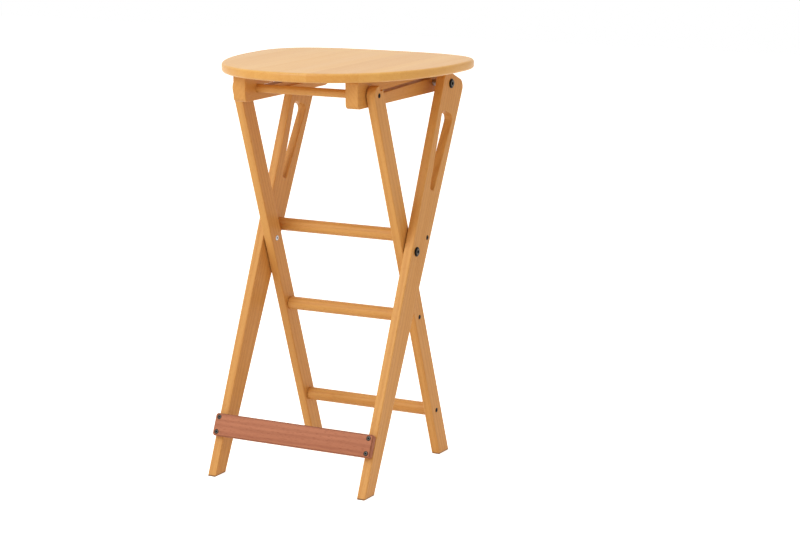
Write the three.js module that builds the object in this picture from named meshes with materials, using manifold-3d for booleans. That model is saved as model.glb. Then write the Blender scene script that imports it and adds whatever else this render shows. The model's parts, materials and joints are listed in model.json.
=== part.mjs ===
// Folding bar stool. Units are millimetres and +Z is up. The footrest faces -Y.
//
// The stool is three hinged assemblies. The outer frame runs from the front feet
// up to the seat pivots. The inner frame crosses it, and its top dowel slides in a
// slot in each seat batten. Each frame is drawn in its own side plane, where `across`
// points to the rear, square to the legs, and `along` points up them from the cross pivot.
import * as THREE from 'three';
import { mergeVertices } from 'three/addons/utils/BufferGeometryUtils.js';
import Module from 'manifold-3d';

const wasm = await Module();
wasm.setup();

// Whole stool
const seatHeight = 650;
const frameWidth = 286.6;
const crossHeight = 358.2;
const outerLeanDegrees = 23.35;
const innerLeanDegrees = 18.82;
const foldDegrees = 42;
const seatFoldDegrees = 63;

// Stock and fits
const legThickness = 14.6;
const legEdgeRadius = 1.4;
const layerGap = 1.6;
const fitGap = 0.3;
const overrun = 5;
const arcChordGap = 0.05;

// Outer legs, measured square to their straight front edge
const outerFrontMargin = 15.75;
const outerFootWidth = 26.9;
const outerHeadWidth = 68;
const outerHeadRise = 16.6;
const outerHeadCornerRadius = 14;
const seatPivotBelowSeat = 26.3;
const seatPivotFromFront = 25.05;

// Hand slot through each outer leg, wide at the top. The shares are of the way
// from the cross pivot up to the seat pivot.
const handSlotTopShare = 0.8356;
const handSlotBottomShare = 0.371;
const handSlotTopWidth = 37.5;
const handSlotBottomWidth = 12.5;
const handSlotTopMargin = 14;
const handSlotBottomMargin = 21;
const handSlotTopRadius = 9;
const handSlotBottomRadius = 5.5;

// Inner legs
const innerWidth = 30.4;
const dowelAbovePivot = 2.8;
const middleRungBelow = 120.8;
const lowerRungFromFoot = 81.8;
const shoulderReliefGap = 0.9;

// Rungs and dowel
const rungRadius = 10.5;
const upperRungAlong = 29.2;
const foldStopGap = 0.6;
const dowelRadius = 6.6;
const rungChamfer = 0.8;

// Footrest
const footrestFromFoot = 82.6;
const footrestHeight = 36.4;
const footrestThickness = 11.8;
const footrestCornerRadius = 4.5;
const footrestEdgeRadius = 2.6;
const footrestScrewSpacing = 23.8;

// Seat board
const seatThickness = 14.5;
const seatWidth = 384;
const seatFrontOverhang = 45.7;
const seatRearReach = 57;
const seatWidestAhead = 57;
const seatEdgeRadius = 4.2;
const seatFrontFullness = 2.22;
const seatRearFullness = 3;

// Battens under the seat
const battenThickness = 22;
const battenHeight = 41.5;
const battenFrontWall = 37.3;
const battenRearReach = 20;
const battenFrontRadius = 7;
const battenRearRadius = 20;
const battenTopRadius = 2.5;
const battenEdgeRadius = 1.2;
const dowelSlotGap = 0.7;
const dowelGrooveGap = 0.4;
const dowelGrooveDepth = 4;
const dowelGrooveRiseAhead = 40;
const battenScrewInset = 11.5;
const battenScrewRecess = 9;

// Pivot bolts, their sleeve nuts, washers, spacers and inserts
const boltRadius = 3;
const boltHeadRadius = 7.6;
const boltHeadFlatRadius = 5.3;
const boltHeadHeight = 2.3;
const boltHeadRim = 0.6;
const boltSocketFlats = 5;
const boltSocketDepth = 3.2;
const boltTip = 1.2;
const nutRadius = 4.2;
const nutProud = 0.2;
const nutEndWall = 4;
const nutChamfer = 0.4;
const nutSocketFlats = 3;
const nutSocketDepth = 2.4;
const washerRadius = 9;
const spacerRadius = 5;
const insertRadius = 4.6;
const insertDepth = 13;

// Wood screws, whose heads are let in level with the wood
const screwRadius = 1.9;
const screwHeadRadius = 3.7;
const screwHeadHeight = 1.5;
const screwHeadTopRadius = 3.1;
const screwTipLength = 4;
const rungScrewLength = 42;
const dowelScrewLength = 52;
const footrestScrewLength = 36;
const battenScrewLength = 40;

// Layers from the side inwards, as distances from the middle plane
const outerLegFace = frameWidth / 2;
const outerLegBack = outerLegFace - legThickness;
const innerLegFace = outerLegBack - layerGap;
const innerLegBack = innerLegFace - legThickness;
const battenFace = innerLegBack - layerGap;
const battenBack = battenFace - battenThickness;

const sides = { left: -1, right: 1 };
const radians = THREE.MathUtils.degToRad;
const outerLean = radians(outerLeanDegrees);
const innerLean = -radians(innerLeanDegrees);

// Turns a point of a side plane that leans rearwards by `lean` into level y and z
function levelled(point, lean) {
  return new THREE.Vector2(
    point.x * Math.cos(lean) + point.y * Math.sin(lean),
    point.y * Math.cos(lean) - point.x * Math.sin(lean),
  );
}

// How far along a leaning leg a level height above the cross pivot is reached
function alongAt(height, lean, across) {
  return (height + across * Math.sin(lean)) / Math.cos(lean);
}

// Places in the frames' side planes: x is across and y is along
const seatPivotHeight = seatHeight - seatThickness - seatPivotBelowSeat;
const seatPivotRise = seatPivotHeight - crossHeight;
const seatPivotAcross = seatPivotFromFront - outerFrontMargin;
const seatPivot = new THREE.Vector2(
  seatPivotAcross,
  alongAt(seatPivotRise, outerLean, seatPivotAcross),
);
const upperRung = new THREE.Vector2(innerWidth / 2 + foldStopGap + rungRadius, upperRungAlong);
const topDowel = new THREE.Vector2(0, alongAt(seatPivotRise + dowelAbovePivot, innerLean, 0));
const outerFootFront = new THREE.Vector2(
  -outerFrontMargin,
  alongAt(-crossHeight, outerLean, -outerFrontMargin),
);
const footrestAlong = outerFootFront.y + footrestFromFoot;
const lowerRungAlong = alongAt(-crossHeight, innerLean, 0) + lowerRungFromFoot;

// The dowel as the seat sees it, from the seat pivot, with the frame folded by an angle
function dowelInSeat(foldedBy, seatTurnedBy) {
  const fromPivot = levelled(topDowel, innerLean + foldedBy).sub(levelled(seatPivot, outerLean));
  return fromPivot.rotateAround(new THREE.Vector2(), -seatTurnedBy);
}

const dowelOpen = dowelInSeat(0, 0);
const dowelFolded = dowelInSeat(radians(foldDegrees), radians(seatFoldDegrees));
const battenFrontReach = battenFrontWall - dowelOpen.x;
const seatFrontReach = battenFrontReach + seatFrontOverhang;
const battenBottom = seatPivotBelowSeat - fitGap - battenHeight;

// Materials
const beech = new THREE.MeshStandardMaterial({ color: 0xdcab6c, roughness: 0.5, metalness: 0 });
const seatBeech = new THREE.MeshStandardMaterial({ color: 0xe6bd88, roughness: 0.45, metalness: 0 });
const redBeech = new THREE.MeshStandardMaterial({ color: 0xb5774f, roughness: 0.55, metalness: 0 });
const blackSteel = new THREE.MeshStandardMaterial({ color: 0x35353a, roughness: 0.4, metalness: 0.8 });
const zincSteel = new THREE.MeshStandardMaterial({ color: 0xb4b7bb, roughness: 0.35, metalness: 0.9 });

// Helpers: solids, cuts and directions
const alongX = new THREE.Matrix4().makeBasis(
  new THREE.Vector3(0, 1, 0),
  new THREE.Vector3(0, 0, 1),
  new THREE.Vector3(1, 0, 0),
);

function toManifold(geometry) {
  const bare = geometry.clone();
  bare.deleteAttribute('normal');
  bare.deleteAttribute('uv');
  const merged = mergeVertices(bare);
  return new wasm.Manifold(new wasm.Mesh({
    numProp: 3,
    vertProperties: new Float32Array(merged.attributes.position.array),
    triVerts: new Uint32Array(merged.index.array),
  }));
}

function fromManifold(solid) {
  const mesh = solid.getMesh();
  const geometry = new THREE.BufferGeometry();
  geometry.setAttribute('position', new THREE.BufferAttribute(mesh.vertProperties, 3));
  geometry.setIndex(new THREE.BufferAttribute(mesh.triVerts, 1));
  geometry.computeVertexNormals();
  return geometry;
}

function cut(geometry, cutters) {
  let solid = toManifold(geometry);
  for (const cutter of cutters) {
    solid = solid.subtract(toManifold(cutter));
  }
  return fromManifold(solid);
}

// A plate whose outline lies in the side plane, with softened edges, thick in X
function sidePlate(outline, thickness, edge) {
  const plate = new THREE.ExtrudeGeometry(outline, {
    depth: thickness - 2 * edge,
    bevelThickness: edge,
    bevelSize: edge,
    bevelOffset: -edge,
    bevelSegments: 2,
  });
  return plate.translate(0, 0, edge - thickness / 2).applyMatrix4(alongX);
}

// A round bar along X between two places, to drill with
function barAlongX(radius, from, to, across, along) {
  const bar = new THREE.CylinderGeometry(radius, radius, Math.abs(to - from), 16);
  return bar.rotateZ(-Math.PI / 2).translate((from + to) / 2, across, along);
}

// Points along an arc, as many as keep its flats within the chord gap
function arc(centre, radius, from, sweep) {
  const step = 2 * Math.acos(1 - arcChordGap / radius);
  const count = Math.ceil(Math.abs(sweep) / step);
  return Array.from({ length: count + 1 }, (_, i) => {
    const angle = from + sweep * i / count;
    return new THREE.Vector2(Math.cos(angle), Math.sin(angle)).multiplyScalar(radius).add(centre);
  });
}

// A closed outline whose corners are rounded, each by a radius of its own
function rounded(corners) {
  return corners.flatMap((corner, i) => {
    const before = corners[(i + corners.length - 1) % corners.length].at;
    const after = corners[(i + 1) % corners.length].at;
    const toBefore = before.clone().sub(corner.at).normalize();
    const toAfter = after.clone().sub(corner.at).normalize();
    const halfAngle = Math.acos(toBefore.dot(toAfter)) / 2;
    const middle = toBefore.clone().add(toAfter).normalize();
    const centre = corner.at.clone().addScaledVector(middle, corner.radius / Math.sin(halfAngle));
    const start = corner.at.clone().addScaledVector(toBefore, corner.radius / Math.tan(halfAngle));
    const side = Math.sign(toAfter.cross(toBefore));
    return arc(centre, corner.radius, start.sub(centre).angle(), side * (Math.PI - 2 * halfAngle));
  });
}

// A drill that goes right through a leg and leaves room round a bolt or nut
function drill(radius, across, along) {
  const half = legThickness / 2 + overrun;
  return barAlongX(radius + fitGap, -half, half, across, along);
}

// The drills for a screw that is let in on the leg's outer face
function screwDrills(side, across, along) {
  const outside = side * (legThickness / 2 + overrun);
  const recess = side * (legThickness / 2 - screwHeadHeight);
  return [
    drill(screwRadius, across, along),
    barAlongX(screwHeadRadius + fitGap, recess, outside, across, along),
  ];
}

const corner = (x, y, radius) => ({ at: new THREE.Vector2(x, y), radius });

// Outer legs: the rear edge tapers towards the foot, which is cut level
const outerHeadEnd = seatPivot.y + outerHeadRise;
const outerTaper = (outerHeadWidth - outerFootWidth) / (outerHeadEnd - outerFootFront.y);

function outerRearEdge(along) {
  return outerFootWidth - outerFrontMargin + outerTaper * (along - outerFootFront.y);
}

function outerFootRear() {
  const level = Math.tan(outerLean);
  const centre = alongAt(-crossHeight, outerLean, 0);
  const across = outerRearEdge(centre) / (1 - outerTaper * level);
  return new THREE.Vector2(across, centre + across * level);
}

// The front of the head is an arc about the seat pivot, so the seat can swing past it
function outerLegOutline() {
  const foot = outerFootRear();
  const rearTop = new THREE.Vector2(outerRearEdge(outerHeadEnd), outerHeadEnd);
  const rearEdge = foot.clone().sub(rearTop).normalize();
  const reach = outerHeadCornerRadius / Math.tan(Math.acos(-rearEdge.x) / 2);
  const rearCorner = new THREE.Vector2(rearTop.x - reach, rearTop.y - outerHeadCornerRadius);
  const rearNormal = Math.atan2(rearEdge.x, -rearEdge.y);
  const frontSweep = Math.asin(outerHeadRise / seatPivotFromFront);
  return new THREE.Shape([
    outerFootFront,
    foot,
    ...arc(rearCorner, outerHeadCornerRadius, rearNormal, Math.PI / 2 - rearNormal),
    ...arc(seatPivot, seatPivotFromFront, Math.PI - frontSweep, frontSweep),
  ]);
}

function handSlot() {
  const topFront = handSlotTopMargin - outerFrontMargin;
  const bottomFront = handSlotBottomMargin - outerFrontMargin;
  const top = handSlotTopShare * seatPivot.y;
  const bottom = handSlotBottomShare * seatPivot.y;
  return new THREE.Path(rounded([
    corner(topFront, top, handSlotTopRadius),
    corner(topFront + handSlotTopWidth, top, handSlotTopRadius),
    corner(bottomFront + handSlotBottomWidth, bottom, handSlotBottomRadius),
    corner(bottomFront, bottom, handSlotBottomRadius),
  ]));
}

// A blind hole from the leg's front edge for a footrest screw
function footrestScrewHole(along) {
  const depth = footrestScrewLength - footrestThickness + screwHeadHeight + fitGap;
  const pilot = new THREE.CylinderGeometry(
    screwRadius + fitGap,
    screwRadius + fitGap,
    depth + overrun,
    12,
  );
  return pilot.translate(0, (depth - overrun) / 2 - outerFrontMargin, along);
}

function outerLeg(side) {
  const outline = outerLegOutline();
  outline.holes.push(handSlot());
  const plate = sidePlate(outline, legThickness, legEdgeRadius);
  const leg = cut(plate, [
    drill(boltRadius, 0, 0),
    drill(boltRadius, seatPivot.x, seatPivot.y),
    ...screwDrills(side, upperRung.x, upperRung.y),
    ...footrestScrewPlaces().map(footrestScrewHole),
  ]);
  return place(leg, side * (outerLegFace + outerLegBack) / 2);
}

// Inner legs: parallel sides, a round top about the dowel, and a relief in its rear
// shoulder that clears the seat pivot's spacer when the frame is folded
function innerLegOutline() {
  const half = innerWidth / 2;
  return new THREE.Shape([
    new THREE.Vector2(-half, alongAt(-crossHeight, innerLean, -half)),
    new THREE.Vector2(half, alongAt(-crossHeight, innerLean, half)),
    ...arc(topDowel, half, 0, Math.PI),
  ]);
}

function shoulderRelief() {
  const spacer = levelled(seatPivot, outerLean - innerLean - radians(foldDegrees));
  const radius = spacerRadius + shoulderReliefGap;
  const relief = new THREE.Shape([
    ...arc(spacer, radius, Math.PI / 2, Math.PI),
    new THREE.Vector2(spacer.x + innerWidth, spacer.y - radius),
    new THREE.Vector2(spacer.x + innerWidth, spacer.y + radius),
  ]);
  const half = legThickness / 2 + overrun;
  return layerCut(relief, -half, half);
}

function innerLeg(side) {
  const plate = sidePlate(innerLegOutline(), legThickness, legEdgeRadius);
  const leg = cut(plate, [
    shoulderRelief(),
    drill(nutRadius, 0, 0),
    ...screwDrills(side, 0, topDowel.y),
    ...screwDrills(side, 0, -middleRungBelow),
    ...screwDrills(side, 0, lowerRungAlong),
  ]);
  return place(leg, side * (innerLegFace + innerLegBack) / 2);
}

// Rungs and the dowel are turned, with a pilot hole in each end for its screw
function drilledEnd(half, radius, depth) {
  const pilot = screwRadius + fitGap;
  return [
    new THREE.Vector2(0, depth - half),
    new THREE.Vector2(pilot, depth - half),
    new THREE.Vector2(pilot, -half),
    new THREE.Vector2(radius - rungChamfer, -half),
    new THREE.Vector2(radius, rungChamfer - half),
  ];
}

function turned(end) {
  const mirrored = end.map((point) => new THREE.Vector2(point.x, -point.y)).reverse();
  return new THREE.LatheGeometry([...end, ...mirrored], 28).rotateZ(-Math.PI / 2);
}

function rung(length) {
  const depth = rungScrewLength - legThickness + screwHeadHeight + fitGap;
  return turned(drilledEnd(length / 2, rungRadius, depth));
}

// The dowel ends inside the battens' grooves, and long screws hold it to the inner legs
function dowel() {
  const half = battenBack + dowelGrooveDepth - fitGap;
  const depth = dowelScrewLength + screwHeadHeight - (innerLegFace - half);
  return turned(drilledEnd(half, dowelRadius, depth));
}

// Footrest: a board with rounded corners on the front edges of the outer legs
function footrestScrewPlaces() {
  return [-0.5, 0.5].map((share) => footrestAlong + footrestScrewSpacing * share);
}

function footrest() {
  const half = frameWidth / 2;
  const low = footrestAlong - footrestHeight / 2;
  const high = low + footrestHeight;
  const outline = new THREE.Shape(rounded([
    corner(-half, low, footrestCornerRadius),
    corner(half, low, footrestCornerRadius),
    corner(half, high, footrestCornerRadius),
    corner(-half, high, footrestCornerRadius),
  ]));
  const board = new THREE.ExtrudeGeometry(outline, {
    depth: footrestThickness - 2 * footrestEdgeRadius,
    bevelThickness: footrestEdgeRadius,
    bevelSize: footrestEdgeRadius,
    bevelOffset: -footrestEdgeRadius,
    bevelSegments: 3,
  });
  board.translate(0, 0, footrestEdgeRadius).rotateX(Math.PI / 2);
  const holes = [];
  for (const side of Object.values(sides)) {
    for (const along of footrestScrewPlaces()) {
      const pilot = new THREE.CylinderGeometry(
        screwRadius + fitGap,
        screwRadius + fitGap,
        footrestThickness + 2 * overrun,
        16,
      );
      const recess = new THREE.CylinderGeometry(
        screwHeadRadius + fitGap,
        screwHeadRadius + fitGap,
        screwHeadHeight + overrun,
        16,
      );
      const middle = side * (outerLegFace + outerLegBack) / 2;
      holes.push(pilot.translate(middle, -footrestThickness / 2, along));
      holes.push(recess.translate(middle, (screwHeadHeight - overrun) / 2 - footrestThickness, along));
    }
  }
  return cut(board, holes).translate(0, -outerFrontMargin - fitGap, 0);
}

// Seat board: the plan is two half superellipses that meet at the widest line
function seatPlan() {
  const frontDepth = seatFrontReach - seatWidestAhead;
  const rearDepth = seatRearReach + seatWidestAhead;
  const steps = 96;
  const plan = new THREE.Shape();
  for (let i = 0; i < steps; i += 1) {
    const angle = 2 * Math.PI * i / steps;
    const rear = Math.sin(angle) > 0;
    const power = 2 / (rear ? seatRearFullness : seatFrontFullness);
    const x = Math.sign(Math.cos(angle)) * Math.abs(Math.cos(angle)) ** power * seatWidth / 2;
    const depth = rear ? rearDepth : -frontDepth;
    const y = depth * Math.abs(Math.sin(angle)) ** power - seatWidestAhead;
    if (i === 0) {
      plan.moveTo(x, y);
    } else {
      plan.lineTo(x, y);
    }
  }
  plan.closePath();
  return plan;
}

function seatBoard() {
  const board = new THREE.ExtrudeGeometry(seatPlan(), {
    depth: seatThickness - 2 * seatEdgeRadius,
    bevelThickness: seatEdgeRadius,
    bevelSize: seatEdgeRadius,
    bevelOffset: -seatEdgeRadius,
    bevelSegments: 3,
  });
  board.translate(0, 0, seatPivotBelowSeat + seatEdgeRadius);
  return cut(board, battenScrewHoles());
}

// Battens: each holds the seat pivot's insert. The dowel runs in a groove on the inner
// side, whose floor is level at first, and its screw in a narrow slot through the rest.
const angleOf = (from, to) => to.clone().sub(from).angle();

function dowelSlot() {
  const turn = angleOf(dowelOpen, dowelFolded);
  const radius = screwRadius + dowelSlotGap;
  return new THREE.Shape([
    ...arc(dowelOpen, radius, turn + Math.PI / 2, Math.PI),
    ...arc(dowelFolded, radius, turn - Math.PI / 2, Math.PI),
  ]);
}

function dowelGroove() {
  const rise = new THREE.Vector2(-dowelGrooveRiseAhead, dowelOpen.y);
  const turn = angleOf(dowelOpen, dowelFolded);
  const climb = angleOf(rise, dowelFolded);
  const radius = dowelRadius + dowelGrooveGap;
  return new THREE.Shape([
    ...arc(dowelOpen, radius, turn + Math.PI / 2, Math.PI - turn),
    ...arc(rise, radius, -Math.PI / 2, climb),
    ...arc(dowelFolded, radius, climb - Math.PI / 2, Math.PI + turn - climb),
  ]);
}

// Cuts a shape of the side plane through a layer, from one distance in X to another
function layerCut(shape, from, to) {
  const depth = Math.abs(to - from);
  const cutter = new THREE.ExtrudeGeometry(shape, { depth, bevelEnabled: false });
  return cutter.applyMatrix4(alongX).translate(Math.min(from, to), 0, 0);
}

function battenScrewPlaces() {
  return [battenScrewInset - battenFrontReach, battenRearReach - battenScrewInset];
}

// The screws go up into the seat board, from recesses in the battens' lower edges
function battenScrewHoles() {
  const low = battenBottom - overrun;
  const tip = battenBottom + battenScrewRecess + battenScrewLength + fitGap;
  const holes = [];
  for (const side of Object.values(sides)) {
    for (const y of battenScrewPlaces()) {
      const pilot = new THREE.CylinderGeometry(
        screwRadius + fitGap,
        screwRadius + fitGap,
        tip - low,
        12,
      );
      pilot.rotateX(Math.PI / 2);
      holes.push(pilot.translate(side * (battenFace + battenBack) / 2, y, (tip + low) / 2));
    }
  }
  return holes;
}

function batten(side) {
  const top = battenBottom + battenHeight;
  const outline = new THREE.Shape(rounded([
    corner(-battenFrontReach, battenBottom, battenFrontRadius),
    corner(battenRearReach, battenBottom, battenRearRadius),
    corner(battenRearReach, top, battenTopRadius),
    corner(-battenFrontReach, top, battenTopRadius),
  ]));
  const middle = side * (battenFace + battenBack) / 2;
  const plate = sidePlate(outline, battenThickness, battenEdgeRadius).translate(middle, 0, 0);
  const insertHole = barAlongX(
    insertRadius + fitGap,
    side * (battenFace - insertDepth - fitGap),
    side * (battenFace + overrun),
    0,
    0,
  );
  const inside = side * (battenBack - overrun);
  const cutters = [
    insertHole,
    layerCut(dowelSlot(), inside, side * (battenFace + overrun)),
    layerCut(dowelGroove(), inside, side * (battenBack + dowelGrooveDepth)),
    ...battenScrewHoles(),
  ];
  for (const y of battenScrewPlaces()) {
    const recess = new THREE.CylinderGeometry(
      screwHeadRadius + fitGap,
      screwHeadRadius + fitGap,
      battenScrewRecess + overrun,
      16,
    );
    recess.rotateX(Math.PI / 2);
    cutters.push(recess.translate(middle, y, battenBottom + (battenScrewRecess - overrun) / 2));
  }
  return cut(plate, cutters);
}

// Fasteners are turned about Y, with the head's seat at 0 and the shank running to -Y
function boltBody(shankLength) {
  const profile = [
    new THREE.Vector2(0, -shankLength),
    new THREE.Vector2(boltRadius - boltTip / 2, -shankLength),
    new THREE.Vector2(boltRadius, boltTip - shankLength),
    new THREE.Vector2(boltRadius, 0),
    new THREE.Vector2(boltHeadRadius, 0),
    new THREE.Vector2(boltHeadRadius, boltHeadRim),
    new THREE.Vector2(boltHeadFlatRadius, boltHeadHeight),
    new THREE.Vector2(0, boltHeadHeight),
  ];
  const socket = hexSocket(boltSocketFlats, boltSocketDepth, boltHeadHeight);
  return cut(new THREE.LatheGeometry(profile, 24), [socket]);
}

function hexSocket(flats, depth, top) {
  const radius = flats / Math.sqrt(3);
  const socket = new THREE.CylinderGeometry(radius, radius, depth + overrun, 6);
  return socket.translate(0, top - (depth - overrun) / 2, 0);
}

// A sleeve nut lines the inner leg, and its closed end shows inside the frame
function nutBody() {
  const bore = boltRadius + fitGap;
  const profile = [
    new THREE.Vector2(0, -nutEndWall),
    new THREE.Vector2(bore, -nutEndWall),
    new THREE.Vector2(bore, -legThickness),
    new THREE.Vector2(nutRadius, -legThickness),
    new THREE.Vector2(nutRadius, nutProud - nutChamfer),
    new THREE.Vector2(nutRadius - nutChamfer, nutProud),
    new THREE.Vector2(0, nutProud),
  ];
  const socket = hexSocket(nutSocketFlats, nutSocketDepth, nutProud);
  return cut(new THREE.LatheGeometry(profile, 24), [socket]);
}

function screwBody(length) {
  return new THREE.LatheGeometry([
    new THREE.Vector2(0, -length),
    new THREE.Vector2(screwRadius, screwTipLength - length),
    new THREE.Vector2(screwRadius, 0),
    new THREE.Vector2(screwHeadRadius, 0),
    new THREE.Vector2(screwHeadRadius, screwHeadHeight / 2),
    new THREE.Vector2(screwHeadTopRadius, screwHeadHeight),
    new THREE.Vector2(0, screwHeadHeight),
  ], 12);
}

function ring(inner, outer, length) {
  return new THREE.LatheGeometry([
    new THREE.Vector2(inner, 0),
    new THREE.Vector2(outer, 0),
    new THREE.Vector2(outer, length),
    new THREE.Vector2(inner, length),
    new THREE.Vector2(inner, 0),
  ], 24);
}

// Turns a fastener so that its head points out on one side of the stool
function facing(geometry, side, x, across = 0, along = 0) {
  return geometry.rotateZ(-side * Math.PI / 2).translate(side * x, across, along);
}

function place(geometry, x, across = 0, along = 0) {
  return geometry.translate(x, across, along);
}

// One screw at each end of a rung
function rungScrews(rungName, faceX, across, along, length = rungScrewLength) {
  return Object.entries(sides).map(([name, side]) => named(
    `${rungName}_screw_${name}`,
    facing(screwBody(length), side, faceX - screwHeadHeight + fitGap, across, along),
    blackSteel,
  ));
}

function footrestScrews() {
  const screws = [];
  const front = screwHeadHeight - outerFrontMargin - footrestThickness - 2 * fitGap;
  const [lower, upper] = footrestScrewPlaces();
  for (const [name, side] of Object.entries(sides)) {
    for (const [level, along] of Object.entries({ lower, upper })) {
      const screw = screwBody(footrestScrewLength).rotateX(Math.PI);
      screw.translate(side * (outerLegFace + outerLegBack) / 2, front, along);
      screws.push(named(`footrest_screw_${name}_${level}`, screw, blackSteel));
    }
  }
  return screws;
}

function battenScrews() {
  const screws = [];
  const [front, rear] = battenScrewPlaces();
  const headSeat = battenBottom + battenScrewRecess - fitGap;
  for (const [name, side] of Object.entries(sides)) {
    for (const [end, y] of Object.entries({ front, rear })) {
      const screw = screwBody(battenScrewLength).rotateX(-Math.PI / 2);
      screw.translate(side * (battenFace + battenBack) / 2, y, headSeat);
      screws.push(named(`batten_screw_${name}_${end}`, screw, blackSteel));
    }
  }
  return screws;
}

function named(name, geometry, material) {
  const mesh = new THREE.Mesh(geometry, material);
  mesh.name = name;
  return mesh;
}

// The three assemblies
function outerFrame() {
  const frame = new THREE.Group();
  const rungLength = 2 * (outerLegBack - fitGap);
  const crossShank = outerLegFace - innerLegBack - nutEndWall;
  const seatShank = outerLegFace - battenFace;
  frame.add(named('upper_rung', place(rung(rungLength), 0, upperRung.x, upperRung.y), beech));
  frame.add(named('footrest', footrest(), redBeech));
  frame.add(...footrestScrews());
  frame.add(...rungScrews('upper_rung', outerLegFace, upperRung.x, upperRung.y));
  for (const [name, side] of Object.entries(sides)) {
    const spacer = ring(boltRadius + fitGap, spacerRadius, outerLegBack - battenFace - 2 * fitGap);
    frame.add(named(`outer_leg_${name}`, outerLeg(side), beech));
    frame.add(named(
      `cross_bolt_${name}`,
      facing(boltBody(crossShank), side, outerLegFace + fitGap),
      blackSteel,
    ));
    frame.add(named(
      `seat_bolt_${name}`,
      facing(boltBody(seatShank), side, outerLegFace + fitGap, seatPivot.x, seatPivot.y),
      blackSteel,
    ));
    frame.add(named(
      `seat_spacer_${name}`,
      facing(spacer, side, battenFace + fitGap, seatPivot.x, seatPivot.y),
      zincSteel,
    ));
  }
  frame.rotation.x = -outerLean;
  return frame;
}

function innerFrame() {
  const frame = new THREE.Group();
  const rungLength = 2 * (innerLegBack - fitGap);
  const rungs = { middle: -middleRungBelow, lower: lowerRungAlong };
  for (const [name, along] of Object.entries(rungs)) {
    frame.add(named(`${name}_rung`, place(rung(rungLength), 0, 0, along), beech));
    frame.add(...rungScrews(`${name}_rung`, innerLegFace, 0, along));
  }
  frame.add(named('top_dowel', place(dowel(), 0, 0, topDowel.y), beech));
  frame.add(...rungScrews('top_dowel', innerLegFace, 0, topDowel.y, dowelScrewLength));
  for (const [name, side] of Object.entries(sides)) {
    const washer = ring(boltRadius + fitGap, washerRadius, layerGap - 2 * fitGap);
    frame.add(named(`inner_leg_${name}`, innerLeg(side), beech));
    frame.add(named(`cross_washer_${name}`, facing(washer, side, innerLegFace + fitGap), zincSteel));
    frame.add(named(`cross_nut_${name}`, facing(nutBody(), -side, -innerLegBack), zincSteel));
  }
  frame.rotation.x = -innerLean;
  return frame;
}

function seat() {
  const assembly = new THREE.Group();
  assembly.add(named('seat_board', seatBoard(), seatBeech));
  assembly.add(...battenScrews());
  for (const [name, side] of Object.entries(sides)) {
    const insert = ring(boltRadius, insertRadius, insertDepth);
    assembly.add(named(`batten_${name}`, batten(side), beech));
    assembly.add(named(`seat_insert_${name}`, facing(insert, side, battenFace - insertDepth), zincSteel));
  }
  const pivot = levelled(seatPivot, outerLean);
  assembly.position.set(0, pivot.x, pivot.y);
  return assembly;
}

// The stool stands with the middle of its outline over the origin
function build() {
  const stool = new THREE.Group();
  stool.add(outerFrame(), innerFrame(), seat());
  const front = levelled(outerFootFront, outerLean).x;
  const rear = levelled(seatPivot, outerLean).x + seatRearReach;
  stool.position.set(0, -(front + rear) / 2, crossHeight);
  stool.updateMatrixWorld(true);
  return stool;
}

const group = build();
export default group;
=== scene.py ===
# %% [markdown]
# # A folding bar stool in beech
#
# The real stool is two crossed ladders of honey-lacquered beech with a board for a seat.
# Its mechanism comes packed from CAD as a fixed frame: every solid already sits where it
# belongs, on the body that it moves with. Blender's part is the look. We keep the frame's
# legs, battens and footrest, give each one grain that runs its own way, and replace the
# seat board, the turned bars and the bolts and screws with finer surfaces.

# %% Load the frame
import json
from math import cos, pi, radians, sin

import bpy
import numpy as np
from mathutils import Matrix, Vector


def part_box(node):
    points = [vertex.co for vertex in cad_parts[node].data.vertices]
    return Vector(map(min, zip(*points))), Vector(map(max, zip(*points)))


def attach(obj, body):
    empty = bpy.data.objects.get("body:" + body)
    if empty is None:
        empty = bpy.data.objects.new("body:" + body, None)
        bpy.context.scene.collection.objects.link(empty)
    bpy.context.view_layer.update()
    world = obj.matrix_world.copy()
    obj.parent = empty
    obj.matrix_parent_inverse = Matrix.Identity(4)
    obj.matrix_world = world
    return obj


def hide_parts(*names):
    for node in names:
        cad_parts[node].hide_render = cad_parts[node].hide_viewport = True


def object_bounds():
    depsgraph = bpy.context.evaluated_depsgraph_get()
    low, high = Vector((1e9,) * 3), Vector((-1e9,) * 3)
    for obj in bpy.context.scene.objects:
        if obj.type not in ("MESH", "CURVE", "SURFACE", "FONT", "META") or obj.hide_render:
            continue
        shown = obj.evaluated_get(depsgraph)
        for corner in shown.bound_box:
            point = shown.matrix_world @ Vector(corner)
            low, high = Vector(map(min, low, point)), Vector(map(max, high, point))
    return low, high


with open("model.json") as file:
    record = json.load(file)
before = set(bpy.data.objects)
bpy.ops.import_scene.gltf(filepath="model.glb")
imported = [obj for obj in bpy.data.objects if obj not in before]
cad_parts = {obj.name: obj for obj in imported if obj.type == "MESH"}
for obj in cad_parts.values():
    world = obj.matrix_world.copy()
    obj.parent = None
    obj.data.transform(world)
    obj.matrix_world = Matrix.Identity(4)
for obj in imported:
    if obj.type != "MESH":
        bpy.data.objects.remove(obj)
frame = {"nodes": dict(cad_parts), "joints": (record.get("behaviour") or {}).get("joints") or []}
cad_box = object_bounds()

MM = 0.001
SIDES = {"left": -1, "right": 1}
scene = bpy.context.scene
scene.view_settings.view_transform = "Standard"
joints = {joint["name"]: joint for joint in frame["joints"]}
print("CAD box, mm:", [[round(c / MM, 1) for c in corner] for corner in cad_box])

# %% [markdown]
# ## The camera
#
# The photograph was taken from the stool's front right, a little above the seat, with a
# long lens. Its place was found by fitting the feet, the rung ends and the seat's outline
# to the picture. A camera in Blender looks along its own -Z, so its axes are built from
# the direction of view, and the small roll of the picture is added to them.

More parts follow.
